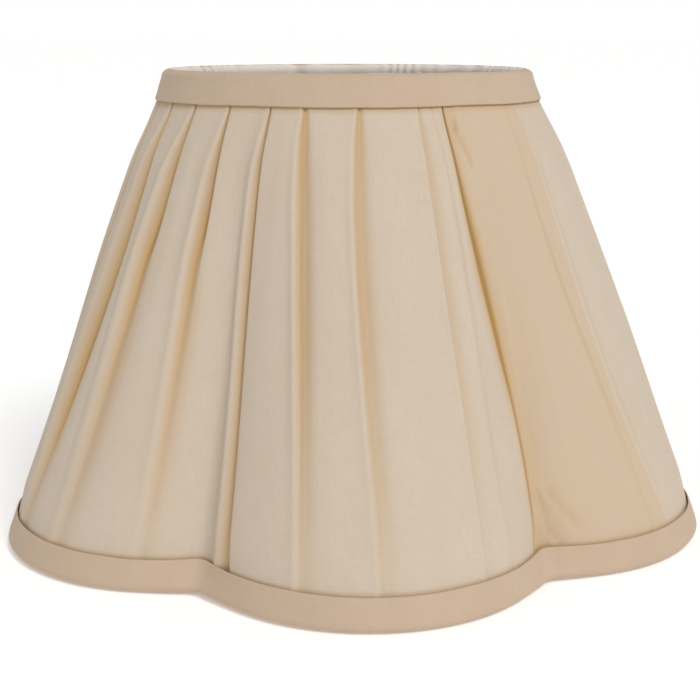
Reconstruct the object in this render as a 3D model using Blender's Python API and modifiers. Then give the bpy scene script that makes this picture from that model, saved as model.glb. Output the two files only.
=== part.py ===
# Pleated fabric lamp shade on a scalloped wire frame, in metres, +Z up, standing on its wide end.
# A round top ring, a bottom ring bent into six lobes, six ribs and a lamp holder ring on three arms
# carry a lining, a pleated cover and two bindings. Cloth pieces are plain closed shells.
import math

import bmesh
import bpy
from mathutils import Vector

# Overall sizes, to the outside of the bindings
shade_height = 0.157
top_radius = 0.0656
lobe_radius = 0.130
notch_radius = 0.1093
notch_rounding = 0.005
lobe_count = 6

# Cloth: the cover is three layers deep where its pleats lie
binding_thickness = 0.0008
cover_thickness = 0.0012
lining_thickness = 0.0006
top_binding_height = 0.0099
bottom_binding_height = 0.0105
bottom_binding_inner_height = 0.009

# Wire frame
ring_wire_radius = 0.0015
rib_wire_radius = 0.0013
arm_count = 3
arm_slope = math.radians(50)
arm_bend_radius = 0.005

# Lamp holder ring
fitter_hole_radius = 0.021
fitter_outer_radius = 0.0275
fitter_thickness = 0.0016
fitter_edge = 0.0003
fitter_drop = 0.014

# Clearance between pieces that touch, and the length of the cutter that opens the lining for an arm
fit_gap = 0.0003
cutter_length = 0.006

# Fineness of the meshes
lobe_steps = 10
notch_steps = 4
wall_steps = 4
turn_steps = 4
wrap_steps = 6
ring_segments = 72
ring_sides = 10
wire_resolution = 2
arm_resolution = 3
bend_steps = 5

# One lobe points at -Y
first_lobe_angle = math.radians(-90)

# Where each layer of the wall starts, measured inwards from the outside of the bindings
cover_inset = binding_thickness + fit_gap
rib_inset = cover_inset + cover_thickness + fit_gap + rib_wire_radius
lining_inset = rib_inset + rib_wire_radius + fit_gap
inner_binding_inset = lining_inset + lining_thickness + fit_gap + binding_thickness

# The bottom binding turns under the bottom ring on this radius, and the ring sits at its centre
turn_radius = binding_thickness + fit_gap + ring_wire_radius
turn_sweep = math.radians(120)
bottom_ring_height = turn_radius
cloth_foot = bottom_ring_height + ring_wire_radius + 2 * fit_gap
top_ring_height = shade_height - lining_thickness - fit_gap - ring_wire_radius

# The lining wraps the top ring between these two directions, seen from the middle of its wire
wrap_start = math.radians(45)
wrap_end = math.radians(207)
cover_crown = top_ring_height + ring_wire_radius / 2
fitter_height = shade_height - fitter_drop


def scene_collection(name):
    collection = bpy.data.collections.new(name)
    bpy.context.scene.collection.children.link(collection)
    return collection


def place(name, data, material, height=0.0, turn=0.0):
    """Adds an object to the shade, under its empty, at a height and a turn about the axis."""
    obj = bpy.data.objects.new(name, data)
    data.materials.append(material)
    shade_parts.objects.link(obj)
    obj.parent = shade_root
    obj.location = (0.0, 0.0, height)
    obj.rotation_euler = (0.0, 0.0, turn)
    return obj


def make_material(name, red, green, blue, roughness, metallic=0.0):
    material = bpy.data.materials.new(name)
    material.use_nodes = True
    shader = material.node_tree.nodes["Principled BSDF"]
    shader.inputs["Base Color"].default_value = (red, green, blue, 1.0)
    shader.inputs["Roughness"].default_value = roughness
    shader.inputs["Metallic"].default_value = metallic
    return material


def direction(angle):
    return Vector((math.cos(angle), math.sin(angle)))


def outline_stations():
    """The foot outline, once round: lobes that are arcs, joined by small rounded notches.

    Each station is the foot point, the outline's outward normal there, and the radial direction
    in which the wall rises to the round top.
    """
    half_lobe = math.pi / lobe_count
    outer = lobe_radius + notch_rounding
    inner = notch_radius + notch_rounding
    centre_distance = (outer**2 - inner**2) / (2 * (outer - inner * math.cos(half_lobe)))
    arc_radius = lobe_radius - centre_distance
    notch_centre = direction(half_lobe) * inner
    to_notch = notch_centre - Vector((centre_distance, 0.0))
    arc_end = math.atan2(to_notch.y, to_notch.x)
    stations = []
    for lobe in range(lobe_count):
        lobe_angle = first_lobe_angle + lobe * 2 * half_lobe
        lobe_centre = direction(lobe_angle) * centre_distance
        for step in range(lobe_steps + 1):
            normal = direction(lobe_angle - arc_end + 2 * arc_end * step / lobe_steps)
            stations.append((lobe_centre + normal * arc_radius, normal))
        rounding_centre = direction(lobe_angle + half_lobe) * inner
        for step in range(1, notch_steps):
            swing = (arc_end - half_lobe) * (1 - 2 * step / notch_steps)
            normal = direction(lobe_angle + half_lobe + swing)
            stations.append((rounding_centre - normal * notch_rounding, normal))
    return [(foot, normal, foot.normalized()) for foot, normal in stations]


def wall_point(station, height, inset):
    """A point of the wall, which runs straight from the scalloped foot to the round top."""
    foot, foot_normal, radial = station
    rise = shade_height - bottom_ring_height
    share = (height - bottom_ring_height) / rise
    level = foot.lerp(radial * top_radius, share)
    normal = foot_normal.lerp(radial, share).normalized()
    slant = math.hypot(1.0, (foot.length - top_radius) / rise)
    flat = level - normal * inset * slant
    return Vector((flat.x, flat.y, height))


def notch_station():
    """The station at the bottom of the notch after the first lobe, turned onto the X axis."""
    foot = Vector((notch_radius, 0.0))
    return foot, foot.normalized(), foot.normalized()


def top_ring_radius():
    inset = cover_inset + cover_thickness + fit_gap + ring_wire_radius
    return wall_point(notch_station(), top_ring_height, inset).x


def cloth_shell(name, rows, thickness, material):
    """A closed shell through rows of points, each row once round the shade, thickened inwards.

    The rows run from the first edge down the outer face of the sheet.
    """
    mesh = bpy.data.meshes.new(name)
    sheet = bmesh.new()
    grid = [[sheet.verts.new(point) for point in row] for row in rows]
    for upper, lower in zip(grid, grid[1:]):
        for index in range(len(upper)):
            after = (index + 1) % len(upper)
            sheet.faces.new((upper[index], lower[index], lower[after], upper[after]))
    sheet.to_mesh(mesh)
    sheet.free()
    mesh.shade_smooth()
    shell = place(name, mesh, material)
    solidify = shell.modifiers.new("thickness", "SOLIDIFY")
    solidify.thickness = thickness
    solidify.offset = -1.0
    solidify.use_even_offset = True
    return shell


def wall_levels():
    """Heights at which every sheet of the wall has a row, so that neighbouring sheets keep apart."""
    upper = shade_height - top_binding_height
    step = (upper - bottom_binding_height) / wall_steps
    levels = [shade_height, shade_height - top_binding_height / 2]
    return levels + [upper - step * index for index in range(wall_steps + 1)]


def wall_rows(stations, inset, crown, foot):
    """Rows of the wall from its crown down to its foot."""
    heights = [crown] + [level for level in wall_levels() if foot < level < crown] + [foot]
    return [[wall_point(station, height, inset) for station in stations] for height in heights]


def wire(name, points, radius, resolution, material, closed=False, height=0.0, turn=0.0):
    curve = bpy.data.curves.new(name, "CURVE")
    curve.dimensions = "3D"
    curve.bevel_depth = radius
    curve.bevel_resolution = resolution
    curve.use_fill_caps = not closed
    spline = curve.splines.new("POLY")
    spline.points.add(len(points) - 1)
    for target, point in zip(spline.points, points):
        target.co = (*point, 1.0)
    spline.use_smooth = True
    spline.use_cyclic_u = closed
    return place(name, curve, material, height, turn)


def bottom_ring(stations, material):
    points = []
    for station in stations:
        seat = wall_point(station, bottom_ring_height, turn_radius)
        points.append((seat.x, seat.y, 0.0))
    wire("bottom_ring", points, ring_wire_radius, wire_resolution, material, True, bottom_ring_height)


def top_ring(material):
    bpy.ops.mesh.primitive_torus_add(
        major_radius=top_ring_radius(),
        minor_radius=ring_wire_radius,
        major_segments=ring_segments,
        minor_segments=ring_sides,
    )
    mesh = bpy.context.object.data
    mesh.shade_smooth()
    bpy.data.objects.remove(bpy.context.object)
    place("top_ring", mesh, material, top_ring_height)


def ribs(material):
    """One straight wire in each notch, butted between the two rings."""
    notch = notch_station()
    points = [
        wall_point(notch, bottom_ring_height + ring_wire_radius, rib_inset),
        wall_point(notch, top_ring_height - ring_wire_radius - fit_gap, rib_inset),
    ]
    for index in range(lobe_count):
        turn = first_lobe_angle + (index + 0.5) * 2 * math.pi / lobe_count
        wire(f"rib_{index + 1}", points, rib_wire_radius, wire_resolution, material, turn=turn)


def fitter_ring(material):
    """A flat washer with softened edges, turned about the axis."""
    half = fitter_thickness / 2
    profile = [
        (fitter_outer_radius - fitter_edge, half),
        (fitter_outer_radius, half - fitter_edge),
        (fitter_outer_radius, fitter_edge - half),
        (fitter_outer_radius - fitter_edge, -half),
        (fitter_hole_radius + fitter_edge, -half),
        (fitter_hole_radius, fitter_edge - half),
        (fitter_hole_radius, half - fitter_edge),
        (fitter_hole_radius + fitter_edge, half),
    ]
    mesh = bpy.data.meshes.new("fitter_ring")
    mesh.from_pydata(
        [(radius, 0.0, height) for radius, height in profile],
        [(index, (index + 1) % len(profile)) for index in range(len(profile))],
        [],
    )
    ring = place("fitter_ring", mesh, material, fitter_height)
    screw = ring.modifiers.new("turned", "SCREW")
    screw.steps = ring_segments
    screw.render_steps = ring_segments
    screw.use_merge_vertices = True
    screw.merge_threshold = 0.00001
    screw.use_smooth_shade = False


def arm_start():
    """The middle of the top ring's wire, and the direction in which an arm leaves it."""
    away = Vector((-math.cos(arm_slope), 0.0, -math.sin(arm_slope)))
    centre = Vector((top_ring_radius(), 0.0, top_ring_height))
    return centre, away


def arm_path():
    """Down from the top ring, round a bend, and level to the lamp holder ring."""
    centre, away = arm_start()
    start = centre + away * (ring_wire_radius + fit_gap)
    corner = start + away * ((start.z - fitter_height) / math.sin(arm_slope))
    setback = arm_bend_radius * math.tan(arm_slope / 2)
    bend_centre = Vector((corner.x - setback, 0.0, fitter_height + arm_bend_radius))
    points = [start]
    for step in range(bend_steps + 1):
        angle = arm_slope * (1 - step / bend_steps)
        swing = Vector((math.sin(angle), 0.0, -math.cos(angle)))
        points.append(bend_centre + swing * arm_bend_radius)
    points.append(Vector((fitter_outer_radius + fit_gap, 0.0, fitter_height)))
    return points


def arm_turns():
    """The arms stand midway between ribs."""
    step = 2 * math.pi / arm_count
    return [first_lobe_angle + index * step for index in range(arm_count)]


def fitter_arms(material):
    for index, turn in enumerate(arm_turns()):
        name = f"fitter_arm_{index + 1}"
        wire(name, arm_path(), rib_wire_radius, arm_resolution, material, turn=turn)


def arm_hole_cutters():
    """Round bars along the arms, wider by the clearance, that open the lining for them."""
    centre, away = arm_start()
    cutters = []
    for index, turn in enumerate(arm_turns()):
        mesh = bpy.data.meshes.new(f"arm_hole_{index + 1}")
        bar = bmesh.new()
        bmesh.ops.create_cone(
            bar,
            cap_ends=True,
            segments=16,
            radius1=rib_wire_radius + fit_gap,
            radius2=rib_wire_radius + fit_gap,
            depth=cutter_length,
        )
        bar.to_mesh(mesh)
        bar.free()
        cutter = bpy.data.objects.new(mesh.name, mesh)
        cutter_parts.objects.link(cutter)
        middle = centre + away * (cutter_length / 2 + ring_wire_radius / 2)
        cutter.location = (middle.x * math.cos(turn), middle.x * math.sin(turn), middle.z)
        cutter.rotation_euler = (0.0, math.pi / 2 - arm_slope, turn)
        cutter.hide_render = True
        cutter.display_type = "WIRE"
        cutters.append(cutter)
    return cutters


def lining(stations, material):
    """The inner sheet: from outside the top ring over it, then down the inside of the ribs."""
    wrap_radius = ring_wire_radius + fit_gap
    rows = []
    for step in range(wrap_steps + 1):
        angle = wrap_start + (wrap_end - wrap_start) * step / wrap_steps
        radius = top_ring_radius() + wrap_radius * math.cos(angle)
        height = top_ring_height + wrap_radius * math.sin(angle)
        rows.append([(*(radial * radius), height) for foot, normal, radial in stations])
    rows += wall_rows(stations, lining_inset, shade_height - top_binding_height, cloth_foot)
    shell = cloth_shell("lining", rows, lining_thickness, material)
    for cutter in arm_hole_cutters():
        hole = shell.modifiers.new(cutter.name, "BOOLEAN")
        hole.operation = "DIFFERENCE"
        hole.solver = "EXACT"
        hole.object = cutter


def pleated_cover(stations, material):
    rows = wall_rows(stations, cover_inset, cover_crown, cloth_foot)
    cloth_shell("pleated_cover", rows, cover_thickness, material)


def top_binding(stations, material):
    rows = wall_rows(stations, 0.0, shade_height, shade_height - top_binding_height)
    cloth_shell("top_binding", rows, binding_thickness, material)


def bottom_binding(stations, material):
    """A folded strip: down the outside, under the bottom ring, and up over the lining's edge."""
    rows = [[wall_point(station, bottom_binding_height, 0.0) for station in stations]]
    section = []
    for step in range(turn_steps + 1):
        angle = turn_sweep * step / turn_steps
        section.append((turn_radius * (1 - math.cos(angle)), -turn_radius * math.sin(angle)))
    turn_end, drop = section[-1]
    rise = (inner_binding_inset - turn_end) * math.tan(turn_sweep - math.pi / 2)
    section.append((inner_binding_inset, drop + rise))
    for inset, offset in section:
        seats = [wall_point(station, bottom_ring_height, inset) for station in stations]
        rows.append([(seat.x, seat.y, seat.z + offset) for seat in seats])
    edge = bottom_binding_inner_height
    rows.append([wall_point(station, edge, inner_binding_inset) for station in stations])
    cloth_shell("bottom_binding", rows, binding_thickness, material)


for leftover in list(bpy.data.objects):
    bpy.data.objects.remove(leftover)

shade_parts = scene_collection("lamp_shade")
cutter_parts = scene_collection("cutters")
shade_root = bpy.data.objects.new("lamp_shade_root", None)
shade_parts.objects.link(shade_root)

frame_white = make_material("frame_white_wire", 0.78, 0.77, 0.74, 0.4, 0.2)
fitter_white = make_material("fitter_white_steel", 0.80, 0.79, 0.76, 0.35, 0.2)
cover_cotton = make_material("cover_beige_cotton", 0.62, 0.51, 0.41, 0.9)
binding_cotton = make_material("binding_beige_cotton", 0.56, 0.44, 0.33, 0.9)
lining_cotton = make_material("lining_ivory_cotton", 0.67, 0.58, 0.51, 0.9)

outline = outline_stations()
bottom_ring(outline, frame_white)
top_ring(frame_white)
ribs(frame_white)
fitter_ring(fitter_white)
fitter_arms(frame_white)
lining(outline, lining_cotton)
pleated_cover(outline, cover_cotton)
top_binding(outline, binding_cotton)
bottom_binding(outline, binding_cotton)
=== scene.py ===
import math

import bpy
import numpy as np
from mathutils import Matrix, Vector, noise


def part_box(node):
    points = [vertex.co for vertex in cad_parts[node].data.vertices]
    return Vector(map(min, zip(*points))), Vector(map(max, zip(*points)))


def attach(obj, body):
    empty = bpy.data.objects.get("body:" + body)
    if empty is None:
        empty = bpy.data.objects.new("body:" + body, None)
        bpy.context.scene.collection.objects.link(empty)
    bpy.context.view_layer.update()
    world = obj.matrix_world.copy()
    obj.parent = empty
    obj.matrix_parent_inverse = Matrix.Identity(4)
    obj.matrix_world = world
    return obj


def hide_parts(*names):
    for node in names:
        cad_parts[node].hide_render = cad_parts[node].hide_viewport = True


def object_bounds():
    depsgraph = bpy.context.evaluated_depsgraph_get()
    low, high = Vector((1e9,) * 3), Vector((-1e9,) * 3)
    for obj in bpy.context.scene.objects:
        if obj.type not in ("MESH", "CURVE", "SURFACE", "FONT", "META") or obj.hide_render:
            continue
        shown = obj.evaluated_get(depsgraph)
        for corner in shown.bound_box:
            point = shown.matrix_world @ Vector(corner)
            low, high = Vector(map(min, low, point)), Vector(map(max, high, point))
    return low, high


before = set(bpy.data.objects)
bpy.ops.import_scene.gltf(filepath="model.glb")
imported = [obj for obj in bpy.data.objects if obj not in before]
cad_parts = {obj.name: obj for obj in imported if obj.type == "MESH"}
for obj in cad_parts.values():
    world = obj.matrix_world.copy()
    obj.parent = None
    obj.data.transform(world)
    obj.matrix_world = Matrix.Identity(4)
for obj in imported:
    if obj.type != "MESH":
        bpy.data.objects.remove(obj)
cadBox = [list(corner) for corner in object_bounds()]
mm = 0.001

# The wall that all the cloth lies on: a round top, and a foot with arcs joined by rounded notches.
wall = {
    "lobes": 6,
    "notchRadius": 109.3 * mm,
    "notchRounding": 5 * mm,
    "topRadius": 65.3 * mm,
    "ringHeight": 2.6 * mm,
    "topInset": 0.9 * mm,
}
wall["height"] = cadBox[1][2]
wall["lobeRadius"] = cadBox[1][1]
halfLobe = math.pi / wall["lobes"]
outerReach = wall["lobeRadius"] + wall["notchRounding"]
notchCentre = wall["notchRadius"] + wall["notchRounding"]
lobeCentre = (outerReach**2 - notchCentre**2) / (2 * (outerReach - notchCentre * math.cos(halfLobe)))
lobeArc = wall["lobeRadius"] - lobeCentre
arcEnd = math.atan2(notchCentre * math.sin(halfLobe), notchCentre * math.cos(halfLobe) - lobeCentre)
arcEndTurn = math.atan2(lobeArc * math.sin(arcEnd), lobeCentre + lobeArc * math.cos(arcEnd))

wireLow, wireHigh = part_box("top_ring")
wireRadius = 1.5 * mm
topWire = {"radius": wireHigh[1] - wireRadius, "height": (wireLow[2] + wireHigh[2]) / 2}


def smooth(low, high, value):
    share = np.clip((value - low) / (high - low), 0, 1)
    return share * share * (3 - 2 * share)


def footRadius(turn):
    # distance from the axis to the foot outline; turns are measured from the lobe at -Y towards +X
    local = np.abs((turn + halfLobe) % (2 * halfLobe) - halfLobe)
    lobe = lobeCentre * np.cos(local) + np.sqrt(lobeArc**2 - (lobeCentre * np.sin(local)) ** 2)
    across = halfLobe - local
    inside = np.maximum(wall["notchRounding"] ** 2 - (notchCentre * np.sin(across)) ** 2, 0)
    notch = notchCentre * np.cos(across) - np.sqrt(inside)
    return np.where(local < arcEndTurn, lobe, notch)


def wallFrame(turn, height):
    # the wall's radius at each turn and height, its outward normal, and metres of wall per radian
    rise = wall["height"] - wall["ringHeight"]
    share = (height - wall["ringHeight"]) / rise
    foot = footRadius(turn)
    radius = foot + (wall["topRadius"] - foot) * share
    step = 0.01
    swing = (footRadius(turn + step) - footRadius(turn - step)) / (2 * step) * (1 - share)
    fall = (wall["topRadius"] - foot) / rise
    radial = np.stack([np.sin(turn), -np.cos(turn), np.zeros_like(turn)], -1)
    along = np.stack([np.cos(turn), np.sin(turn), np.zeros_like(turn)], -1)
    normal = radial - along * (swing / radius)[..., None] - np.array([0, 0, 1]) * fall[..., None]
    normal /= np.linalg.norm(normal, axis=-1, keepdims=True)
    return radius, radial, normal, np.hypot(radius, swing)


def wallPoints(turn, height, out):
    # points on the wall, pushed out along its normal; cloth is pulled in a little under the top binding
    turn, height, out = np.broadcast_arrays(turn, height, out)
    out = out - wall["topInset"] * smooth(125 * mm, 157 * mm, height)
    radius, radial, normal, _ = wallFrame(turn, height)
    points = radial * radius[..., None] + normal * out[..., None]
    points[..., 2] += height
    return points


def rimPoints(turn, inset, drop):
    # points round the bottom ring, by how far they lie inside the foot outline and below the ring
    turn, inset, drop = np.broadcast_arrays(turn, inset, drop)
    radius, radial, normal, _ = wallFrame(turn, np.full(turn.shape, wall["ringHeight"]))
    level = normal.copy()
    level[..., 2] = 0
    level /= np.linalg.norm(level, axis=-1, keepdims=True)
    points = radial * radius[..., None] - level * inset[..., None]
    points[..., 2] = wall["ringHeight"] + drop
    return points


def ripple(across, along, seed):
    # smooth noise of about -1 to 1 at each pair of values
    across, along = np.broadcast_arrays(across, along)
    flat = [noise.noise(Vector((a, b, seed))) for a, b in zip(across.ravel(), along.ravel())]
    return np.array(flat).reshape(across.shape)


def layCloth(name, points, cloth, paintedShade, thickness, closed=False):
    # a flat grid is cut like the strip, each of its points is laid in place, and it gets a thickness
    rows, columns = points.shape[:2]
    bpy.ops.object.select_all(action="DESELECT")
    bpy.ops.mesh.primitive_grid_add(x_subdivisions=columns - 1, y_subdivisions=rows - 1, size=1)
    piece = bpy.context.object
    piece.name = name
    mesh = piece.data
    mesh.name = name
    count = len(mesh.vertices)
    flat = np.empty(count * 3)
    mesh.vertices.foreach_get("co", flat)
    flat = flat.reshape(-1, 3)
    column = np.rint((flat[:, 0] + 0.5) * (columns - 1)).astype(int)
    row = np.rint((flat[:, 1] + 0.5) * (rows - 1)).astype(int)
    mesh.vertices.foreach_set("co", points[row, column].ravel())
    corner = np.empty(len(mesh.loops), int)
    mesh.loops.foreach_get("vertex_index", corner)
    mesh.uv_layers[0].data.foreach_set("uv", cloth[row, column][corner].ravel())
    mesh.uv_layers[0].name = "clothUV"
    mark = mesh.color_attributes.new("paintedShade", "FLOAT_COLOR", "POINT")
    shades = np.ones((count, 4))
    shades[:, : paintedShade.shape[-1]] = paintedShade[row, column]
    mark.data.foreach_set("color", shades.ravel())
    mesh.update()
    if closed:
        bpy.ops.object.mode_set(mode="EDIT")
        bpy.ops.mesh.select_all(action="SELECT")
        bpy.ops.mesh.remove_doubles(threshold=0.00001)
        bpy.ops.object.mode_set(mode="OBJECT")
    bpy.ops.object.shade_smooth()
    solid = piece.modifiers.new("thickness", "SOLIDIFY")
    solid.thickness = thickness
    solid.offset = -1
    bpy.ops.object.modifier_apply(modifier=solid.name)
    return piece


def alongStrip(points, axis):
    # distance run along each row or column of points
    steps = np.linalg.norm(np.diff(points, axis=axis), axis=-1)
    start = np.zeros_like(np.take(steps, [0], axis=axis))
    return np.cumsum(np.concatenate([start, steps], axis=axis), axis=axis)


# Pleated cover: one strip of cotton in knife pleats, each fold lying over the panel to its left.
# A fold's edge has a turn in degrees just under the top binding, at two thirds and one third of
# the height, and at the foot. Then come its kind, its size, how deep its painted shade is, and the
# height in mm at which its hidden layers have run out and it opens into a soft wave.
# A small crease runs between two places, each a turn in degrees and a height in mm. Then come its
# width and how far it stands out in mm, and how deep its colour is. The seam's gap has a width at
# some heights in mm. The waves have a height in mm, how many times closer together they are than
# the widest ones, a length up the wall in mm, and a seed.
cover = {
    "thickness": 0.2 * mm,
    "hiddenTop": 155.2 * mm,
    "hiddenFoot": 4.8 * mm,
    "bindingEdge": 147.1 * mm,
    "underBinding": -0.85 * mm,
    "bulge": 0.9 * mm,
    "underlap": 7.0 * mm,
    "foldBack": 0.43 * mm,
    "foldFloor": 0.5 * mm,
    "panelSteps": 7,
    "seamPanelSteps": 26,
    "clothPerPleat": 27.4 * mm,
    "seamLine": (20.8, 23.3, 27.6, 27.2),
    "seamLap": 9.0 * mm,
    "seamGap": [(8, 0.9), (40, 1.3), (64, 1.7), (90, 2.4), (104, 2.6), (121, 1.9), (134, 1.1), (147, 0.6)],
    "hemWidth": 3.8 * mm,
    "turnedUnder": 7 * mm,
    "waves": [(0.6, 1, 90, 2.5), (0.2, 2.3, 60, 7.5), (0.07, 6.5, 120, 1.5)],
    "frontFolds": [
        (44.2, 44.5, 47.9, 49.3, "fine", 1.0, 1.0, 150),
        (50.3, 50.1, 51.5, 55.8, "fine", 1.0, 0.8, 150),
    ],
    "leftFolds": [
        (-62.6, -59.6, -60.3, -61.6, "knife", 1.8, 1.3, 30),
        (-50.8, -50.1, -50.2, -51.2, "knife", 1.5, 1.1, 98),
        (-38.3, -37.8, -37.1, -37.4, "knife", 1.05, 1.0, 98),
        (-26.0, -26.0, -24.6, -24.0, "notch", 1.0, 1.0, -30),
        (-16.2, -13.7, -11.8, -10.9, "valley", 1.15, 1.0, 150),
        (-1.9, -2.0, -0.6, 0.2, "valley", 1.0, 0.85, 150),
        (13.8, 14.6, 15.2, 15.6, "valley", 0.45, 0.55, 150),
        (17.8, 20.1, 20.4, 21.7, "fine", 1.1, 1.0, 150),
    ],
    "backFolds": 19,
    "backStart": 72,
    "backGap": 12.2,
    "backWander": (0.8, 1.8, 2.4, 2.4),
    "backOpened": (70, 40),
    "smallCreases": [
        ((23.3, 149), (24.6, 137), 0.8, -1.3, 1.0),
        ((24.2, 139), (27.4, 127), 1.0, -0.5, 0.45),
        ((25.6, 148), (27.4, 130), 1.3, 0.5, 0.0),
        ((30.2, 30), (35.6, 14), 1.0, 0.7, 0.0),
        ((31.2, 30), (37.2, 14), 1.3, -0.7, 0.3),
        ((29.4, 20), (33.0, 9), 0.9, 0.5, 0.0),
        ((30.2, 19), (34.2, 9), 1.0, -0.5, 0.35),
        ((29.4, 42), (32.0, 24), 1.4, 0.5, 0.0),
        ((-55.0, 26), (-57.5, 10), 1.2, -0.4, 0.15),
        ((11.0, 18), (12.5, 9), 1.2, -0.3, 0.0),
    ],
}

# A kind's section at some heights in mm: the wedge's width and depth, how far the fold's edge lies
# below the panel and over what width it comes up again, the roll of the panel on its left, and how
# deep the painted shade is left and right of the edge. First while it is folded, then where it is open.
foldKinds = {
    "knife": (
        [
            (147, 0.5, 0.9, 0.05, 1.5, 0.10, 1.0, 0.5),
            (141, 1.5, 1.2, 0.10, 1.5, 0.35, 0.95, 0.0),
            (125, 3.6, 1.7, 0.12, 1.6, 0.80, 0.85, 0.0),
            (100, 5.4, 1.9, 0.15, 1.8, 0.90, 0.85, 0.0),
            (75, 6.0, 1.8, 0.20, 2.6, 0.85, 0.8, 0.2),
            (45, 6.0, 1.5, 0.25, 3.6, 0.65, 0.6, 0.3),
            (8, 5.0, 0.9, 0.15, 3.6, 0.30, 0.3, 0.1),
        ],
        [
            (110, 5.4, 1.2, 0.20, 3.0, 0.60, 0.75, 0.2),
            (75, 5.8, 1.0, 0.25, 3.6, 0.50, 0.6, 0.3),
            (45, 6.0, 0.7, 0.20, 4.0, 0.35, 0.4, 0.2),
            (10, 6.0, 0.25, 0.05, 4.0, 0.10, 0.15, 0.05),
        ],
    ),
    "notch": (
        [
            (147, 0.5, 0.9, 0.05, 1.5, 0.10, 1.0, 0.5),
            (141, 1.3, 1.2, 0.10, 1.5, 0.35, 0.9, 0.0),
            (125, 2.8, 1.3, 0.10, 1.6, 0.80, 0.8, 0.0),
            (95, 3.3, 1.35, 0.12, 1.8, 1.00, 0.8, 0.0),
            (60, 3.8, 1.25, 0.12, 2.0, 0.90, 0.78, 0.0),
            (30, 5.0, 1.2, 0.12, 2.2, 0.75, 0.7, 0.0),
            (8, 6.8, 1.0, 0.12, 2.4, 0.50, 0.6, 0.0),
        ],
        [(50, 5.0, 0.6, -0.42, 3.4, 0.30, 0.4, 0.0), (10, 5.0, 0.2, -0.20, 4.0, 0.10, 0.15, 0.0)],
    ),
    "soft": (
        [
            (147, 0.5, 0.9, 0.20, 1.5, 0.10, 1.0, 0.7),
            (141, 1.0, 1.1, 0.60, 2.6, 0.30, 0.9, 0.8),
            (120, 2.2, 1.1, 0.80, 3.6, 0.55, 0.8, 0.7),
            (90, 2.6, 1.05, 0.75, 4.4, 0.60, 0.75, 0.6),
        ],
        [
            (100, 3.2, 1.0, 0.85, 4.4, 0.50, 0.65, 0.55),
            (50, 4.0, 0.7, 0.55, 5.0, 0.40, 0.4, 0.35),
            (10, 4.4, 0.25, 0.20, 5.0, 0.15, 0.15, 0.1),
        ],
    ),
    "valley": (
        [(147, 1.2, 0.4, 0.4, 1.4, 0.15, 0.7, 0.6), (132, 3.2, 0.9, 0.9, 3.6, 0.3, 0.6, 0.5)],
        [
            (147, 1.2, 0.5, 0.5, 1.4, 0.15, 0.8, 0.7),
            (140, 2.4, 0.8, 0.8, 2.6, 0.20, 0.7, 0.6),
            (120, 3.2, 0.95, 0.95, 3.8, 0.50, 0.6, 0.5),
            (90, 3.4, 1.0, 1.0, 4.2, 0.60, 0.65, 0.5),
            (60, 3.4, 0.75, 0.75, 4.4, 0.45, 0.5, 0.4),
            (10, 3.6, 0.25, 0.25, 4.4, 0.15, 0.15, 0.1),
        ],
    ),
    "fine": (
        [(147, 1.0, 0.1, -0.02, 1.0, 0.0, 0.1, 0.0), (140, 1.0, 0.1, -0.1, 1.0, 0.0, 0.1, 0.0)],
        [
            (147, 1.0, 0.1, -0.02, 1.0, 0.0, 0.1, 0.0),
            (120, 1.4, 0.2, -0.2, 1.2, 0.0, 0.15, 0.0),
            (90, 2.2, 0.28, -0.3, 1.5, 0.0, 0.15, 0.0),
            (50, 2.8, 0.28, -0.3, 1.8, 0.0, 0.15, 0.0),
            (10, 2.8, 0.1, -0.15, 2.2, 0.0, 0.1, 0.0),
        ],
    ),
}
lineShares = (0.94, 0.64, 0.32, 0.03)  # the shares of the height that a line's four turns are at


def foldLine(turns, height):
    # a smooth line through the four turns, in radians
    share = height / wall["height"]
    return np.radians(np.polyval(np.polyfit(lineShares, turns, 3), share))


def allFolds():
    # the folds in order from the seam, once round: right, back, left
    folds = list(cover["frontFolds"])
    first, last = cover["backStart"], 360 + cover["leftFolds"][0][0] - cover["backGap"]
    middle, most = cover["backOpened"]
    for index in range(cover["backFolds"]):
        turn = first + (last - first) * index / (cover["backFolds"] - 1)
        wander = [noise.noise(Vector((index * 3.1, part * 2.7, 5.5))) for part in range(5)]
        line = [turn + reach * part for reach, part in zip(cover["backWander"], wander)]
        kind = ("knife", "knife", "soft")[index % 3] if wander[4] > -0.2 else "knife"
        opened = middle + most * noise.noise(Vector((index * 2.3, 8.2, 1.4)))
        folds.append((*line, kind, 1 + 0.25 * wander[4], 1 + 0.4 * wander[4], opened))
    for fold in cover["leftFolds"]:
        folds.append((*[turn + 360 for turn in fold[:4]], *fold[4:]))
    return folds


def coverHeights():
    # rows closer together near both bindings, where the small creases are
    top, foot = cover["hiddenTop"], cover["hiddenFoot"]
    edge = cover["bindingEdge"]
    low, high = 30 * mm, 118 * mm
    return np.concatenate([
        np.linspace(foot, low, 14, endpoint=False),
        np.linspace(low, high, 23, endpoint=False),
        np.linspace(high, edge, 13, endpoint=False),
        np.linspace(edge, top, 3),
    ])


def foldSizes(fold, height):
    # the values of the fold's section at every height, lengths in metres, and its underlap
    shut, wide = (np.array(rows)[::-1] for rows in foldKinds[fold[4]])
    size, colour, opened = fold[5], fold[6], fold[7] * mm
    folded = smooth(opened - 26 * mm, opened + 14 * mm, height)
    values = []
    for column in range(1, 8):
        one = np.interp(height / mm, shut[:, 0], shut[:, column])
        two = np.interp(height / mm, wide[:, 0], wide[:, column])
        values.append(folded * one + (1 - folded) * two)
    width, depth, drop, flank, roll = (value * mm for value in values[:5])
    share = np.clip((height - opened) / max(cover["bindingEdge"] - opened, 6 * mm), 0, 1)
    # how deep the painted shade is left and right of the edge, scaled by the fold's own depth of shade
    left, right = np.clip(values[5] * colour, 0, 1), np.clip(values[6] * colour, 0, 1)
    relief = math.sqrt(size)
    lap = cover["underlap"] * share
    return width * size, depth * relief, drop * relief, flank, 1.5 * roll * relief, left, right, lap


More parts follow.
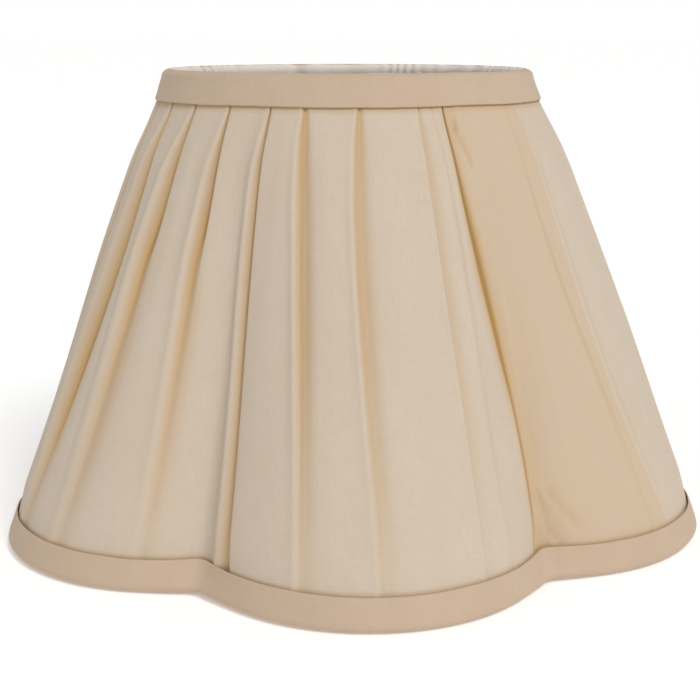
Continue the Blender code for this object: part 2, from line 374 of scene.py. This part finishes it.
def foldSection(fold, height):
    # one fold's cross section at every height: steps to the right of its edge, and out from the wall
    width, depth, drop, flank, roll, left, right, lap = foldSizes(fold, height)
    lead = 0.8 * mm if fold[4] == "fine" else 1.6 * mm if fold[4] == "valley" else 2.4 * mm
    layered = smooth(0, 3.5 * mm, lap)
    back, bottom = cover["foldBack"], cover["foldFloor"]
    depth = np.maximum(depth, layered * (drop + bottom))
    floor = -0.5 * width * (1 - layered)
    edge = [floor, -depth]
    nose = [0.1 * mm + 0 * width, -drop]

    def under(share, below):
        # a place below the upper panel, which rises from the fold's edge
        rise = np.clip(1 - share * lap / flank, 0, 1) ** 2
        return [share * lap, -drop * rise - below]

    tip = under(1, (back + bottom) / 2)
    hidden = [
        [0.2 * lap, -np.maximum(depth, drop + bottom)],
        under(0.7, bottom),
        under(1, bottom),
        [tip[0] + 0.15 * mm, tip[1]],
        under(1, back),
        under(0.5, back),
        [0.15 * mm + 0 * lap, -back - drop],
        [-0.1 * mm + 0 * lap, -0.5 * back - drop],
    ]
    section = [
        (-width - lead, 0.2 * roll),
        (-width - 0.45 * lead, 0.8 * roll),
        (-width - 0.1 * lead, roll),
        (-0.82 * width, 0.75 * roll - 0.12 * depth),
        (-0.64 * width + 0.12 * floor, 0.3 * roll - 0.4 * depth),
        (-0.44 * width + 0.3 * floor, -0.7 * depth),
        (-0.22 * width + 0.6 * floor, -0.93 * depth),
        edge,
    ]
    for number, place in enumerate(hidden):
        share = (number + 1) / (len(hidden) + 1)
        soft = share * share * (3 - 2 * share)
        straight = [edge[0] + (nose[0] - edge[0]) * share, edge[1] + (nose[1] - edge[1]) * soft]
        section.append([layered * a + (1 - layered) * b for a, b in zip(place, straight)])
    section += [nose, (0.3 * flank, -0.5 * drop), (0.62 * flank, -0.15 * drop), (flank, 0 * flank)]
    across = np.stack([point[0] + 0 * height for point in section], -1)
    out = np.stack([point[1] + 0 * height for point in section], -1)
    # painted shade: the colour deepens towards the edge, where shade falls in the wedge, stays deep on the
    # hidden layers, and fades right of it
    shade = np.zeros_like(across)
    for column, share in ((3, 0.12), (4, 0.45), (5, 0.75), (6, 0.95), (7, 1.0)):
        shade[:, column] = left * share
    for column in range(8, 16):
        even = left + (right - left) * (column - 7) / 9
        shade[:, column] = layered * np.maximum(left, 0.8) * (column < 15) + (1 - layered) * even
    for column, share in ((16, 1.0), (17, 0.7), (18, 0.3)):
        shade[:, column] = right * share
    return across, out, shade


def creaseAlong(turn, height, start, end, width):
    # a small crease on the wall between two places, 1 mm high
    radius = 95 * mm
    x, y = turn * radius, height
    x0, y0 = math.radians(start[0]) * radius, start[1] * mm
    x1, y1 = math.radians(end[0]) * radius, end[1] * mm
    length = math.hypot(x1 - x0, y1 - y0)
    run = ((x - x0) * (x1 - x0) + (y - y0) * (y1 - y0)) / length
    off = ((x - x0) * (y1 - y0) - (y - y0) * (x1 - x0)) / length
    taper = smooth(-0.1 * length, 0.25 * length, run) * (1 - smooth(0.6 * length, 1.1 * length, run))
    return mm * taper * np.exp(-((off / (width * mm)) ** 2))


def flapColumns(seam, seamScale, heights):
    # the under flap comes out from below the seam and rises to the first panel
    gapHeights, gapWidths = np.array(cover["seamGap"]).T
    gapWidth = np.interp(heights / mm, gapHeights, gapWidths) * mm
    gapDepth = 0.5 * mm + 0.22 * gapWidth
    columns = []
    # the flap lies in the seam's gap and gets the full painted shade
    for across in (-cover["seamLap"], -6 * mm, -3 * mm, -1 * mm, 0):
        columns.append((seam + across / seamScale, -gapDepth, 1.0))
    # shares of the gap's width and depth, and how deep the painted shade in the gap is
    rise = ((0.45, 0.97, 1), (0.8, 0.8, 0.95), (1.0, 0.4, 0.65), (1.15, 0.08, 0.45), (1.7, 0, 0.25))
    for place, deep, shadeDepth in rise:
        columns.append((seam + gapWidth * place / seamScale, -gapDepth * deep, shadeDepth))
    low = 1 - smooth(70 * mm, 125 * mm, heights)
    # below the middle, a faint painted shade with a slight dip fades out to the right of the seam
    for across in np.arange(4.5, 11, 0.6):
        fade = low * 0.3 * (1 - smooth(2, 11, across))
        columns.append((seam + across * mm / seamScale, -0.25 * mm * fade, fade))
    return columns


def hemColumns(panelStart, edge, seamScale, heights):
    # the last panel ends in a hem that lies over the flap
    room = (edge - panelStart) * seamScale
    narrow = np.clip((room - 0.6 * mm) / cover["hemWidth"], 0.1, 1)
    hemEnd = edge - cover["hemWidth"] * narrow / seamScale
    columns = [(panelStart + (hemEnd - panelStart) * step / 5, 0 * edge, 0) for step in range(1, 5)]
    # steps in mm to the right of the seam and out from the wall, and how deep the painted shade is
    back = -cover["foldBack"] / mm
    hem = (
        (-cover["hemWidth"] / mm, 0, 0.0),
        (-2.7, 0.04, 0.04),
        (-1.7, 0.09, 0.12),
        (-0.8, 0.11, 0.3),
        (-0.2, 0.05, 0.5),
        (0.0, -0.1, 0.6),
        (0.03, -0.22, 0.75),
        (-0.05, -0.35, 0.9),
        (-0.3, back, 1),
        (-3, back, 1),
    )
    turned = smooth(40 * mm, 75 * mm, heights) * (1 - smooth(118 * mm, 138 * mm, heights))
    for across, out, shadeDepth in hem:
        shadeDepth = shadeDepth + (min(2.4 * shadeDepth + 0.1, 1) - shadeDepth) * turned
        across = across * narrow if across < 0 and out > -0.05 else across
        columns.append((edge + across * mm / seamScale, 0 * edge + out * mm, shadeDepth))
    # the part that is turned under ends before the fold next to the seam
    under = np.clip(room, 3.3 * mm, cover["turnedUnder"])
    columns.append((edge - under / seamScale, 0 * edge + back * mm, 1))
    return columns


def loosenCover(turn, z, out, paintedShade):
    # away from the bindings the cloth bulges and waves a little, and it has some small creases
    free = smooth(8 * mm, 26 * mm, z) * (1 - smooth(128 * mm, cover["bindingEdge"], z))
    loose = smooth(9 * mm, 20 * mm, z) * (1 - smooth(130 * mm, cover["bindingEdge"], z))
    out = out + cover["underBinding"] + cover["bulge"] * loose
    around = turn * 9.5
    for tall, closer, length, seed in cover["waves"]:
        out = out + tall * mm * free * ripple(around * closer, z / (length * mm), seed)
    for start, end, width, depth, shadeDepth in cover["smallCreases"]:
        line = creaseAlong(turn, z, start, end, width)
        out = out + line * depth
        # each crease also gets painted shade along its line
        paintedShade[..., 0] = np.maximum(paintedShade[..., 0], shadeDepth * line / mm)
    # painted shade: the cloth is ochre in the narrow gap beside each binding's edge, where the binding shades
    # it
    bindingEdgeShade = 0.6 * (1 - smooth(10.2 * mm, 12.2 * mm, z)) + 0.6 * smooth(145.6 * mm, 147.4 * mm, z)
    paintedShade[..., 0] = np.maximum(paintedShade[..., 0], bindingEdgeShade)
    return out


def makeCover():
    heights = coverHeights()
    folds = allFolds()
    seam = foldLine(cover["seamLine"], heights)
    seamScale = wallFrame(seam, heights)[3]
    turns, outs, paintedShades, panels = [], [], [], []

    def add(turn, out, shadeDepth, double, panel):
        turns.append(turn)
        outs.append(out)
        paintedShades.append(np.stack([shadeDepth * np.ones_like(turn), double * np.ones_like(turn)], -1))
        panels.append(panel)

    for column in flapColumns(seam, seamScale, heights):
        add(*column, 1, 0)
    panelStart = seam + 11 * mm / seamScale
    panelOut = np.zeros_like(seam)
    for number, fold in enumerate(folds):
        edge = foldLine(fold[:4], heights)
        scale = wallFrame(edge, heights)[3][:, None]
        across, out, shadeDepth = foldSection(fold, heights)
        # where the fold before it is near, its left side is squeezed into the room there is
        room = (edge - panelStart)[:, None] * scale
        squeeze = np.clip((room - 0.5 * mm) / -across[:, :1], 0.1, 1)
        across = np.where(across < 0, across * squeeze, across)
        foldTurns = edge[:, None] + across / scale
        steps = cover["seamPanelSteps"] if number == 0 else cover["panelSteps"]
        for step in range(1, steps):
            place = step / steps
            lift = panelOut * (1 - smooth(0, 0.3, place)) + out[:, 0] * smooth(0.7, 1, place)
            add(panelStart + (foldTurns[:, 0] - panelStart) * place, lift, 0, number < 2, number)
        for column in range(across.shape[1]):
            behind = number if column < 12 else number + 1
            add(foldTurns[:, column], out[:, column], shadeDepth[:, column], number < 1, behind)
        panelStart, panelOut = foldTurns[:, -1], out[:, -1]
    for column in hemColumns(panelStart, seam + 2 * math.pi, seamScale, heights):
        add(*column, 0, len(folds))
    turn = np.stack(turns, 1)
    paintedShade = np.stack(paintedShades, 1)
    z = np.broadcast_to(heights[:, None], turn.shape)
    points = wallPoints(turn, z, loosenCover(turn, z, np.stack(outs, 1), paintedShade))
    # the weave runs straight down the middle of each panel, so it is measured from there
    run = alongStrip(points, 1)
    panels = np.array(panels)
    for panel in range(panels.max() + 1):
        own = np.flatnonzero(panels == panel)
        middle = own[len(own) // 2 if panel else len(own) * 2 // 3]
        run[:, own] += panel * cover["clothPerPleat"] - run[:, [middle]]
    cloth = np.stack([run, z * 1.07], -1)
    made = layCloth("pleatedCover", points, cloth, paintedShade, cover["thickness"])
    print("cover laid,", len(made.data.polygons), "faces")
    return made


# Bindings: strips of the same cotton with both long edges turned under.
binding = {
    "thickness": 0.26 * mm,
    "topEdge": 147.1 * mm,
    "bottomEdge": 10.5 * mm,
    "innerEdge": 9.0 * mm,
    "turnUnder": 4.5 * mm,
    "layerPitch": 0.5 * mm,
    "columns": 420,
    "lap": math.radians(5),
    "topLapAt": math.radians(152),
    "bottomLapAt": math.radians(208),
    "bridge": 2.6 * mm,
}


def stripTurns(lapAt):
    # turns from one end of the strip to the other, which laps over the first
    return np.linspace(lapAt, lapAt + 2 * math.pi + binding["lap"], binding["columns"])


def lapLift(turns, lapAt):
    # the last end rises over the first by two layers
    past = turns - lapAt - 2 * math.pi
    return 0.55 * mm * smooth(-math.radians(2.5), 0, past)


def makeTopBinding():
    turns = stripTurns(binding["topLapAt"])
    edge, pitch = binding["topEdge"], binding["layerPitch"]
    lift = lapLift(turns, binding["topLapAt"])
    # up from the turned-under edge, round the fold at the lower edge, and up the outside
    section = [
        (-pitch, edge + binding["turnUnder"]),
        (-pitch, edge + 0.8 * mm),
        (-pitch * 0.85, edge + 0.2 * mm),
        (-pitch * 0.5, edge),
        (-pitch * 0.12, edge + 0.18 * mm),
        (0, edge + 0.6 * mm),
    ]
    section += [(0.05 * mm, edge + step * mm) for step in (1.8, 3.2, 4.6, 6.0)]
    rows = [wallPoints(turns, height, out + lift) for out, height in section]
    # over the wire, to a little past its top
    outer = wallFrame(turns, np.full_like(turns, topWire["height"]))[0] - 0.9 * wall["topInset"]
    radial = np.stack([np.sin(turns), -np.cos(turns), np.zeros_like(turns)], -1)
    wave = 0.25 * mm * ripple(turns * 14, 0.5, 3.3)
    for angle in np.radians([0, 15, 30, 45, 58, 70, 80]):
        across = (outer - topWire["radius"]) * math.cos(angle)
        lift = (wall["height"] - topWire["height"]) * math.sin(angle)
        points = radial * (topWire["radius"] + across + wave * smooth(0.8, 1.6, angle))[:, None]
        points[:, 2] = topWire["height"] + lift
        rows.append(points)
    points = np.stack(rows)
    z = points[..., 2]
    sway = 0.16 * mm * ripple(turns * 5.0, 0.2, 1.9) + 0.1 * mm * ripple(turns * 17, 0.9, 4.9)
    points[..., 2] += sway * (1 - smooth(edge, edge + 5 * mm, z))
    swell = 0.18 * mm * ripple(turns[None] * 7, z * 150, 6.1)
    swell = swell * smooth(edge, edge + 2 * mm, z) * (1 - smooth(154 * mm, 156.5 * mm, z))
    points += radial * swell[..., None]
    return finishStrip("topBinding", points)


def nearNotch(turns, reach):
    # 1 in each notch, fading out over so many degrees on either side
    local = (turns + 2 * halfLobe) % (2 * halfLobe) - halfLobe
    return np.exp(-((local / math.radians(reach)) ** 2))


def makeBottomBinding():
    turns = stripTurns(binding["bottomLapAt"])
    lift = lapLift(turns, binding["bottomLapAt"])
    edge, inner = binding["bottomEdge"], binding["innerEdge"]
    insideOut = -6.9 * mm  # the strip's inner side, measured out from the wall
    rows = []
    # up inside its turned-under edge, round the fold, down inside the lining and round the ring
    for out, height in ((0.5, -3.5), (0.5, -0.9), (0.4, -0.25), (0.22, 0), (0.06, -0.2), (0, -0.7)):
        rows.append(wallPoints(turns, inner + height * mm, insideOut + out * mm - lift * 0.5))
    rows.append(wallPoints(turns, 6.4 * mm, insideOut))
    rows.append(rimPoints(turns, 6.6 * mm, 1.2 * mm))
    turnRadius = wall["ringHeight"]
    for angle in np.radians([140, 120, 100, 80, 60, 42, 24, 8]):
        reach = turnRadius * (1 - math.cos(angle))
        rows.append(rimPoints(turns, reach - lift * 0.6, -turnRadius * math.sin(angle) + 0.02 * mm))
    proud = 0.28 * mm
    for share in (0.12, 0.28, 0.46, 0.64, 0.8, 0.92):
        height = wall["ringHeight"] + (edge - wall["ringHeight"]) * share
        rows.append(wallPoints(turns, height, proud * share + lift))
    for out, height in ((0, -0.25), (-0.1, -0.05), (-0.3, 0.08), (-0.5, -0.1), (-0.55, -0.8), (-0.6, -3.5)):
        rows.append(wallPoints(turns, edge + height * mm, proud + out * mm + lift))
    points = np.stack(rows)
    _, radial, normal, _ = wallFrame(turns, np.full_like(turns, edge))
    z = points[..., 2]
    outside = np.zeros(len(points))
    outside[len(points) - 12 :] = 1
    sway = 0.3 * mm * ripple(turns * 3.4, 0.6, 8.8) + 0.15 * mm * ripple(turns * 13, 0.2, 2.2)
    points[..., 2] += sway * (outside[:, None] * smooth(4 * mm, 9 * mm, z))
    swell = 0.22 * mm * ripple(turns[None] * 8, z * 120, 3.7)
    swell += 0.5 * mm * nearNotch(turns, 2.2) * smooth(5 * mm, 10 * mm, z)
    points += normal * (swell * outside[:, None] * smooth(2 * mm, 5 * mm, z))[..., None]
    # stretched round the foot, the strip's lower edge spans each notch instead of going all the way in
    share = np.concatenate([np.zeros(8), np.linspace(0, 1, 8), np.ones(len(points) - 16)])
    bridge = binding["bridge"] * nearNotch(turns, 4.5) * share[:, None] * (1 - smooth(2 * mm, 10 * mm, z))
    points += radial * bridge[..., None]
    return finishStrip("bottomBinding", points)


def finishStrip(name, points):
    # the weave is measured along and across the strip
    run = alongStrip(points, 1)[len(points) // 2]
    rise = alongStrip(points, 0)[:, :1]
    cloth = np.stack(np.broadcast_arrays(run[None], rise), -1)
    paintedShade = np.zeros((*points.shape[:2], 2))
    made = layCloth(name, points, cloth, paintedShade, binding["thickness"])
    print(name, "laid,", len(made.data.polygons), "faces")
    return made


# Lining: thin cotton gathered over the top ring and drawn down inside the ribs.
lining = {
    "thickness": 0.18 * mm,
    "inset": 5.95 * mm,
    "foot": 5.0 * mm,
    "wrap": 2.0 * mm,
    "columns": 720,
    "gathers": 46,
}


def gatherPattern(turns):
    # uneven gathers from -1 to 1: a wave whose phase and height wander, the same at both ends
    x, y = np.cos(turns) * 3, np.sin(turns) * 3
    wander = np.array([noise.noise(Vector((a, b, 0.4))) for a, b in zip(x, y)])
    size = np.array([noise.noise(Vector((a * 2, b * 2, 6.2))) for a, b in zip(x, y)])
    return np.sin(turns * lining["gathers"] + wander * 22) * np.clip(0.55 + 1.2 * size, 0.1, 1)


def makeLining():
    turns = np.linspace(0, 2 * math.pi, lining["columns"] + 1)
    angles = np.radians([20, 45, 65, 82, 98, 114, 130, 148, 168, 188, 205])
    radial = np.stack([np.sin(turns), -np.cos(turns), np.zeros_like(turns)], -1)
    pull = gatherPattern(turns)
    pucker = np.clip(-pull, 0, 1) ** 2
    rows = []
    # over the top ring, puckered where it comes round to the inside
    for angle in angles:
        near = smooth(1.2, 1.9, angle)
        puff = lining["wrap"] + 0.25 * mm * smooth(0.8, 1.3, angle) + near * mm * (0.35 * pull - 0.3 * pucker)
        points = radial * (topWire["radius"] + puff * math.cos(angle))[:, None]
        points[:, 2] = topWire["height"] + puff * math.sin(angle)
        rows.append(points)
    # down inside the ribs
    for height in np.linspace(147 * mm, lining["foot"], 26):
        loose = smooth(lining["foot"], 20 * mm, height) * (0.3 + 0.7 * smooth(70 * mm, 150 * mm, height))
        slack = 0.5 * mm + 0.6 * mm * loose * (1 + pull)
        slack += 0.5 * mm * loose * ripple(turns * 5, height * 12, 1.1)
        rows.append(wallPoints(turns, height, -lining["inset"] - slack * loose))
    points = np.stack(rows)
    points[:, -1] = points[:, 0]
    run = alongStrip(points, 1)[len(angles)]
    rise = alongStrip(points, 0)[:, :1]
    cloth = np.stack(np.broadcast_arrays(run[None], rise), -1)
    # painted shade in the puckers, and a little where the gathers pull in
    deep = np.broadcast_to((0.1 * np.clip(-pull, 0, 1) + 0.6 * pucker**3)[None], points.shape[:2])
    paintedShade = np.stack([deep, np.zeros_like(deep)], -1)
    made = layCloth("gatheredLining", points, cloth, paintedShade, lining["thickness"], closed=True)
    print("lining laid,", len(made.data.polygons), "faces")
    return made


def toLinear(code):
    # an sRGB hex colour as the linear values that Blender mixes
    parts = [int(code[place : place + 2], 16) / 255 for place in (1, 3, 5)]
    return (*[part / 12.92 if part <= 0.04045 else ((part + 0.055) / 1.055) ** 2.4 for part in parts], 1)


def addNode(tree, kind, inputs=None, **settings):
    # a node with its settings, its values and its links; an input is a value or another node's output
    node = tree.nodes.new(kind)
    for name, value in settings.items():
        setattr(node, name, value)
    for name, value in (inputs or {}).items():
        if isinstance(value, bpy.types.NodeSocket):
            tree.links.new(value, node.inputs[name])
        else:
            node.inputs[name].default_value = value
    return node


def newMaterial(name):
    material = bpy.data.materials.new(name)
    material.use_nodes = True
    tree = material.node_tree
    return material, tree, tree.nodes["Principled BSDF"]


def clothMaterial(name, look):
    # plain woven cotton: matt, with uneven spun threads that show as fine lines both ways
    material, tree, shader = newMaterial(name)
    uv = addNode(tree, "ShaderNodeUVMap", uv_map="clothUV").outputs["UV"]
    fine, slub = 1 / look["thread"], 1 / look["slubLength"]
    wide, tall = 1 / look["patchWidth"], 1 / look["patchHeight"]
    patterns = []
    for scale, detail in (((fine, slub, 1), 2), ((slub, fine, 1), 2), ((wide, tall, 1), 3)):
        place = addNode(tree, "ShaderNodeMapping", {"Vector": uv, "Scale": scale}).outputs[0]
        pattern = addNode(tree, "ShaderNodeTexNoise", {"Vector": place, "Scale": 1, "Detail": detail})
        patterns.append(pattern.outputs[0])
    warp, weft, mottle = patterns
    threads = addNode(tree, "ShaderNodeMath", {0: warp, 1: weft}, operation="ADD").outputs[0]
    share = addNode(tree, "ShaderNodeMapRange", {0: threads, 1: 0.7, 2: 1.3}).outputs[0]
    ends = {0: share, 6: toLinear(look["shade"]), 7: toLinear(look["light"])}
    base = addNode(tree, "ShaderNodeMix", ends, data_type="RGBA").outputs[2]
    paintedShade = addNode(tree, "ShaderNodeAttribute", attribute_name="paintedShade").outputs["Color"]
    paintedShade = addNode(tree, "ShaderNodeSeparateColor", {"Color": paintedShade}).outputs
    changes = (
        ("worn", mottle, 0.35, 0.65),  # handled and aged in broad soft patches
        ("double", paintedShade["Green"], 0, 1),  # yellower where less light comes through two layers
        ("fold", paintedShade["Red"], 0, 0.8),  # painted shade and bounce light: ochre in the folds, where light passes the cloth more than once
        ("deep", paintedShade["Red"], 0.75, 1),  # painted shade: brown where they are deepest
    )
    for part, amount, low, high in changes:
        if part in look:
            colour, most = look[part]
            share = addNode(tree, "ShaderNodeMapRange", {0: amount, 1: low, 2: high, 4: most}).outputs[0]
            ends = {0: share, 6: base, 7: toLinear(colour)}
            base = addNode(tree, "ShaderNodeMix", ends, data_type="RGBA").outputs[2]
    tree.links.new(base, shader.inputs["Base Color"])
    rough = addNode(tree, "ShaderNodeMapRange", {0: threads, 1: 0.7, 2: 1.3, 3: 0.92, 4: 0.8}).outputs[0]
    tree.links.new(rough, shader.inputs["Roughness"])
    shader.inputs["Specular IOR Level"].default_value = 0.25
    shader.inputs["Sheen Weight"].default_value = look["sheen"]
    shader.inputs["Sheen Roughness"].default_value = 0.5
    relief = {"Height": threads, "Strength": 0.3, "Distance": look["threadRelief"]}
    bump = addNode(tree, "ShaderNodeBump", relief)
    tree.links.new(bump.outputs["Normal"], shader.inputs["Normal"])
    return material


# Threads of fine cotton lie about 0.35 mm apart; they are drawn at 0.4 mm or more so that they
# just show. The thread varies from shade to light, and the other colours come with the most that
# they cover.
coverCotton = {
    "thread": 0.45 * mm,
    "slubLength": 6 * mm,
    "threadRelief": 0.12 * mm,
    "patchWidth": 14 * mm,
    "patchHeight": 34 * mm,
    "light": "#CFC0AE",
    "shade": "#C9B9A6",
    "worn": ("#C9B69F", 0.35),
    "double": ("#C9B091", 0.6),
    "fold": ("#C19A5F", 0.85),
    "deep": ("#A07A46", 0.8),
    "sheen": 0.1,
}
bindingCotton = {
    "thread": 0.45 * mm,
    "slubLength": 5 * mm,
    "threadRelief": 0.12 * mm,
    "patchWidth": 14 * mm,
    "patchHeight": 34 * mm,
    "light": "#C8B29B",
    "shade": "#C2AB94",
    "worn": ("#C0A98F", 0.5),
    "sheen": 0.1,
}
liningCotton = {
    "thread": 0.4 * mm,
    "slubLength": 6 * mm,
    "threadRelief": 0.12 * mm,
    "patchWidth": 14 * mm,
    "patchHeight": 34 * mm,
    "light": "#E8DFD6",
    "shade": "#DED4CA",
    "worn": ("#DED2C5", 0.4),
    "fold": ("#B5A391", 0.6),
    "deep": ("#7F6C5A", 0.6),
    "sheen": 0.08,
}


def coatedSteel(name, look):
    # steel under a thin white powder coat: faint orange peel, and slightly cream in soft patches
    material, tree, shader = newMaterial(name)
    place = addNode(tree, "ShaderNodeTexCoord").outputs["Object"]
    grain = {"Vector": place, "Scale": 1 / look["grain"], "Detail": 2}
    peel = addNode(tree, "ShaderNodeTexNoise", grain).outputs[0]
    patches = {"Vector": place, "Scale": 1 / look["patch"], "Detail": 3}
    cloud = addNode(tree, "ShaderNodeTexNoise", patches).outputs[0]
    share = addNode(tree, "ShaderNodeMapRange", {0: cloud, 1: 0.35, 2: 0.65}).outputs[0]
    ends = {0: share, 6: toLinear(look["light"]), 7: toLinear(look["shade"])}
    base = addNode(tree, "ShaderNodeMix", ends, data_type="RGBA").outputs[2]
    tree.links.new(base, shader.inputs["Base Color"])
    spread = {0: peel, 1: 0.3, 2: 0.7, 3: look["rough"] - 0.06, 4: look["rough"] + 0.08}
    rough = addNode(tree, "ShaderNodeMapRange", spread).outputs[0]
    tree.links.new(rough, shader.inputs["Roughness"])
    bump = addNode(tree, "ShaderNodeBump", {"Height": peel, "Strength": 0.25, "Distance": 0.06 * mm})
    tree.links.new(bump.outputs["Normal"], shader.inputs["Normal"])
    return material


wireCoat = {"light": "#ECE9E1", "shade": "#DEDACF", "grain": 0.5 * mm, "patch": 14 * mm, "rough": 0.38}
fitterCoat = {"light": "#EFEDE6", "shade": "#E2DED4", "grain": 0.7 * mm, "patch": 14 * mm, "rough": 0.32}


def dress(piece, material):
    # one material for the piece, in place of any it had
    piece.data.materials.clear()
    piece.data.materials.append(material)


coverPiece = makeCover()
topStrip = makeTopBinding()
bottomStrip = makeBottomBinding()
liningPiece = makeLining()

dress(coverPiece, clothMaterial("beigePlainWeaveCotton", coverCotton))
stripCotton = clothMaterial("beigeBindingCotton", bindingCotton)
dress(topStrip, stripCotton)
dress(bottomStrip, stripCotton)
dress(liningPiece, clothMaterial("ivoryLiningCotton", liningCotton))
wireMaterial = coatedSteel("whiteCoatedWire", wireCoat)
fitterMaterial = coatedSteel("whiteCoatedSheetSteel", fitterCoat)
for name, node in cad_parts.items():
    if name.startswith(("rib_", "fitter_arm_")) or name in ("top_ring", "bottom_ring"):
        dress(node, wireMaterial)
    elif name == "fitter_ring":
        dress(node, fitterMaterial)
print("materials given")

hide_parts("pleated_cover")
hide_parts("top_binding")
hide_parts("bottom_binding")
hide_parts("lining")
for piece in (coverPiece, topStrip, bottomStrip, liningPiece):
    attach(piece, "root")

# Studio: a pale floor, and surroundings that look white but give a softer light than they would
# at that brightness. Strengths are in the units of the lights.
studio = {
    "floorSize": 60,
    "floorGlow": 0.24,
    "surroundings": 0.45,
    "sunStrength": 1.66,
    "sunSpread": math.radians(24),
    "sunColour": (1, 0.995, 0.98),
    "sunFrom": (0.42, -0.72, 1.05),
    "fillStrength": 0.9,
    "fillSize": 1.0,
    "fillPlace": (-1.2, -1.0, 0.7),
    "fillAim": (0, 0, 0.08),
}
bpy.ops.object.select_all(action="DESELECT")
bpy.ops.mesh.primitive_plane_add(size=studio["floorSize"], location=(0, 0, -0.2 * mm))
floor = bpy.context.object
floor.name = "floor"
floorMaterial, _, floorShader = newMaterial("palePaper")
floorShader.inputs["Base Color"].default_value = toLinear("#F4F4F4")
floorShader.inputs["Roughness"].default_value = 0.9
floorShader.inputs["Emission Color"].default_value = (1, 1, 1, 1)
floorShader.inputs["Emission Strength"].default_value = studio["floorGlow"]
floor.data.materials.append(floorMaterial)

world = bpy.data.worlds.new("studio")
bpy.context.scene.world = world
world.use_nodes = True
worldTree = world.node_tree
seen = addNode(worldTree, "ShaderNodeBackground", {"Color": (1, 1, 1, 1), "Strength": 1.0})
given = worldTree.nodes["Background"]
given.inputs["Color"].default_value = (1, 1, 1, 1)
given.inputs["Strength"].default_value = studio["surroundings"]
ray = addNode(worldTree, "ShaderNodeLightPath")
both = addNode(worldTree, "ShaderNodeMixShader", {0: ray.outputs["Is Camera Ray"]})
worldTree.links.new(given.outputs[0], both.inputs[1])
worldTree.links.new(seen.outputs[0], both.inputs[2])
worldTree.links.new(both.outputs[0], worldTree.nodes["World Output"].inputs["Surface"])


def addLight(name, kind, place, aim, **settings):
    light = bpy.data.lights.new(name, kind)
    for setting, value in settings.items():
        setattr(light, setting, value)
    lamp = bpy.data.objects.new(name, light)
    bpy.context.scene.collection.objects.link(lamp)
    lamp.location = place
    lamp.rotation_euler = (Vector(aim) - Vector(place)).to_track_quat("-Z", "Y").to_euler()


sun = {"energy": studio["sunStrength"], "angle": studio["sunSpread"], "color": studio["sunColour"]}
addLight("key", "SUN", studio["sunFrom"], (0, 0, 0), **sun)
fill = {"energy": studio["fillStrength"], "shape": "DISK", "size": studio["fillSize"]}
addLight("fill", "AREA", studio["fillPlace"], studio["fillAim"], **fill)

camera = {
    "distance": 496.9 * mm,
    "height": 169.8 * mm,
    "turn": math.radians(-5.3),
    "pitch": math.radians(13.15),
    "lens": 70.75,
    "shift": (0.0041, 0.0031),
}
view = bpy.data.cameras.new("camera")
view.lens = camera["lens"]
view.shift_x, view.shift_y = camera["shift"]
view.clip_start = 10 * mm
eye = bpy.data.objects.new("camera", view)
bpy.context.scene.collection.objects.link(eye)
reach, turn = camera["distance"], camera["turn"]
eye.location = (reach * math.sin(turn), -reach * math.cos(turn), camera["height"])
eye.rotation_euler = (math.pi / 2 - camera["pitch"], 0, turn)
bpy.context.scene.camera = eye
bpy.context.scene.view_settings.view_transform = "Standard"
print("camera and lights set")
